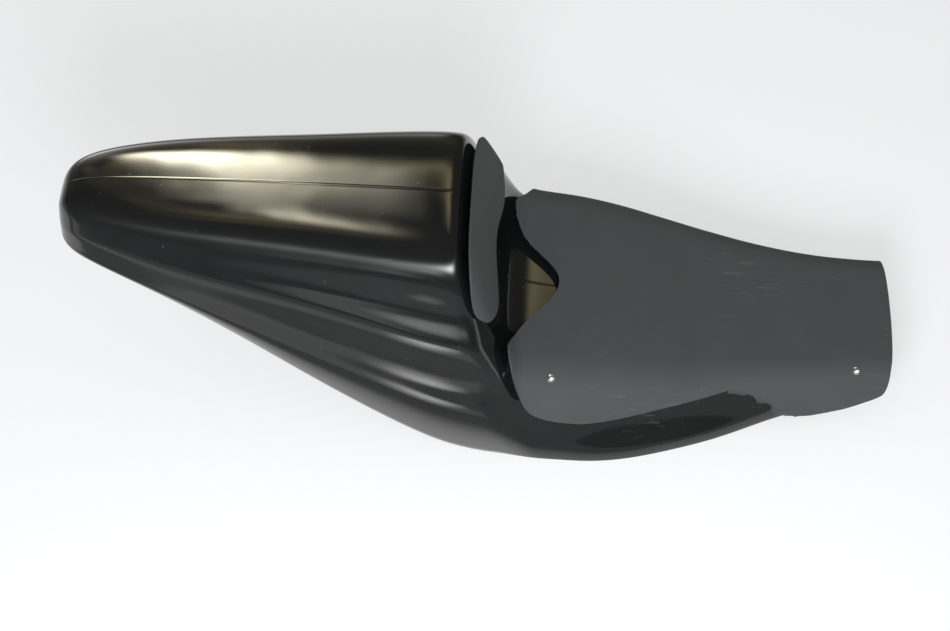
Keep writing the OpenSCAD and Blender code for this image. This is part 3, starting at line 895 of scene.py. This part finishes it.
def studio_world(settings):
    """The room: pale to the camera, even in its soft light, and dark with glows to the gelcoat."""
    world = bpy.data.worlds.new("Studio")
    bpy.context.scene.world = world
    world.use_nodes = True
    tree = world.node_tree
    tree.nodes.clear()
    facing = tree.nodes.new("ShaderNodeTexCoord").outputs["Generated"]
    total = add_node(tree, "VectorMath", {0: DARK_ROOM}).outputs[0]
    for patch in GLOWS:
        total = add_node(tree, "VectorMath", {0: total, 1: glow(tree, facing, *patch)}).outputs[0]
    path = tree.nodes.new("ShaderNodeLightPath").outputs
    soft = mixed(tree, path["Is Camera Ray"], SOFT_LIGHT, settings.floor)
    room = mixed(tree, path["Is Glossy Ray"], soft, total)
    background = add_node(tree, "Background", {"Color": room})
    output = tree.nodes.new("ShaderNodeOutputWorld")
    tree.links.new(background.outputs[0], output.inputs["Surface"])


def floor_material(settings):
    """A pale floor, nearly even to the camera. Glossy rays see it glow as a painted white sheet and
    highlight.
    """
    material, tree, shader, place = new_material("Pale floor")
    grain = effect(tree, "Mottle", place, Scale=3.0, Contrast=0.25)
    base = mixed(tree, grain, [c * 0.98 for c in settings.floor], settings.floor)
    tree.links.new(base, shader.inputs["Base Color"])
    shader.inputs["Roughness"].default_value = 0.9
    shader.inputs["Specular IOR Level"].default_value = 0.0

    # Painted reflection: the glow that glossy rays see on the floor, bright on the sheet and the
    # lane and dimmer far off
    reach = add_node(tree, "VectorMath", {0: place}, operation="LENGTH").outputs["Value"]
    axes = add_node(tree, "SeparateXYZ", {0: place}).outputs
    ahead, sideways = axes["X"], axes["Y"]
    sheet = remap(tree, sideways, SHEET_START, SHEET_FULL, SHEET_REST, 1, smooth=True)
    lane = remap(tree, sideways, LANE_START, LANE_FULL, 0, LANE_STRENGTH, smooth=True)
    fade = remap(tree, sideways, LANE_FADE, LANE_END, 1, LANE_REST, smooth=True)
    lane = calc(tree, "MULTIPLY", lane, fade)
    fade = remap(tree, ahead, LANE_FRONT, LANE_REAR, smooth=True)
    lane = calc(tree, "MULTIPLY", lane, fade)
    sheet = calc(tree, "ADD", sheet, lane)
    fade = remap(tree, reach, REACH_FULL, REACH_DIM, 1, REACH_REST, smooth=True)
    sheet = calc(tree, "MULTIPLY", sheet, fade)
    # Painted highlight: an oval spot of the floor that glows only for glossy rays, which the shell's
    # hip mirrors
    spot = add_node(
        tree, "VectorMath", {0: place, 1: SHEEN_SCALE, 2: SHEEN_SHIFT}, operation="MULTIPLY_ADD"
    ).outputs[0]
    spot = add_node(tree, "VectorMath", {0: spot}, operation="LENGTH").outputs["Value"]
    painted_sheen = remap(tree, spot, 0, SHEEN_RADIUS, settings.painted_sheen, 0, smooth=True)
    mirrored = calc(tree, "ADD", sheet, painted_sheen)

    # Glossy rays see only the painted glow; the camera sees the floor partly lit and partly an even
    # white
    path = tree.nodes.new("ShaderNodeLightPath").outputs
    shown = add_node(tree, "Mix", {0: path["Is Glossy Ray"], 2: 1.0, 3: mirrored}).outputs[0]
    lit = add_node(tree, "Emission", {"Color": (1, 1, 1, 1), "Strength": shown})
    even = calc(tree, "MULTIPLY", path["Is Camera Ray"], settings.evenness)
    even = calc(tree, "MAXIMUM", even, path["Is Glossy Ray"])
    blend = add_node(tree, "MixShader", {0: even, 1: shader.outputs[0], 2: lit.outputs[0]})
    output = next(node for node in tree.nodes if node.type == "OUTPUT_MATERIAL")
    tree.links.new(blend.outputs[0], output.inputs["Surface"])
    return material


def add_softbox(name, azimuth, elevation, distance, size, power, tint):
    """A square lamp that faces the object, and that the gelcoat doesn't mirror."""
    lamp = bpy.data.lights.new(name, "AREA")
    lamp.shape, lamp.size, lamp.energy, lamp.color = "SQUARE", size, power, tint
    box = bpy.data.objects.new(name, lamp)
    box.visible_glossy = False
    bpy.context.scene.collection.objects.link(box)
    way = direction(azimuth, elevation)
    box.location = way * distance
    box.rotation_mode = "QUATERNION"
    box.rotation_quaternion = way.to_track_quat("Z", "Y")


class SEATUNIT_OT_studio(bpy.types.Operator):
    """Lay the pale floor, light the room and aim the camera"""

    bl_idname = "seat_unit.studio"
    bl_label = "Studio"

    def execute(self, context):
        settings = context.scene.seat_unit_studio
        bpy.ops.object.select_all(action="DESELECT")
        bpy.ops.mesh.primitive_circle_add(
            vertices=64, radius=settings.floor_radius, fill_type="NGON"
        )
        floor = context.object
        floor.name = "floor"
        floor.data.materials.append(floor_material(settings))
        studio_world(settings)
        add_softbox(
            "softbox_near", azimuth=0, elevation=35, distance=1.5, size=settings.softbox,
            power=settings.softbox_power, tint=(0.95, 0.98, 1.0),
        )
        context.scene.view_settings.view_transform = "Standard"
        self.add_camera(context, settings)
        return {"FINISHED"}

    def add_camera(self, context, settings):
        """The camera at the photograph's angle."""
        camera = bpy.data.cameras.new("camera")
        camera.lens, camera.sensor_width = settings.lens / MM, SENSOR_WIDTH
        camera.shift_y = CAMERA_SHIFT
        holder = bpy.data.objects.new("camera", camera)
        context.scene.collection.objects.link(holder)
        back = direction(CAMERA_AZIMUTH, CAMERA_ELEVATION)
        holder.location = CAMERA_TARGET + back * CAMERA_DISTANCE
        holder.rotation_mode = "QUATERNION"
        holder.rotation_quaternion = back.to_track_quat("Z", "Y")
        context.scene.camera = holder


class SEATUNIT_PT_sidebar(bpy.types.Panel):
    """The pieces of the seat unit, with their sizes and colours"""

    bl_idname = "SEATUNIT_PT_sidebar"
    bl_label = "Racing Seat Unit"
    bl_space_type = "VIEW_3D"
    bl_region_type = "UI"
    bl_category = "Seat Unit"

    def draw(self, context):
        for operator, settings in STEPS:
            box = self.layout.box()
            box.operator(operator.bl_idname)
            group = getattr(context.scene, settings)
            for name in group.__annotations__:
                box.prop(group, name)


STEPS = (
    (SEATUNIT_OT_studio, "seat_unit_studio"),
    (SEATUNIT_OT_shell, "seat_unit_shell"),
    (SEATUNIT_OT_seat_pad, "seat_unit_pads"),
    (SEATUNIT_OT_back_pad, "seat_unit_pads"),
    (SEATUNIT_OT_rivets, "seat_unit_rivets"),
)
GROUPS = {
    "seat_unit_studio": StudioSettings,
    "seat_unit_shell": ShellSettings,
    "seat_unit_pads": PadSettings,
    "seat_unit_rivets": RivetSettings,
}


def register():
    for name, group in GROUPS.items():
        bpy.utils.register_class(group)
        setattr(bpy.types.Scene, name, PointerProperty(type=group))
    for operator, _ in STEPS:
        bpy.utils.register_class(operator)
    bpy.utils.register_class(SEATUNIT_PT_sidebar)


def unregister():
    bpy.utils.unregister_class(SEATUNIT_PT_sidebar)
    for operator, _ in reversed(STEPS):
        bpy.utils.unregister_class(operator)
    for name, group in GROUPS.items():
        delattr(bpy.types.Scene, name)
        bpy.utils.unregister_class(group)


def main():
    """Builds every piece in order."""
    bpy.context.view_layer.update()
    register()
    bpy.ops.seat_unit.studio()
    bpy.ops.seat_unit.shell()
    bpy.ops.seat_unit.seat_pad()
    bpy.ops.seat_unit.back_pad()
    bpy.ops.seat_unit.rivets()


if __name__ == "__main__":
    main()
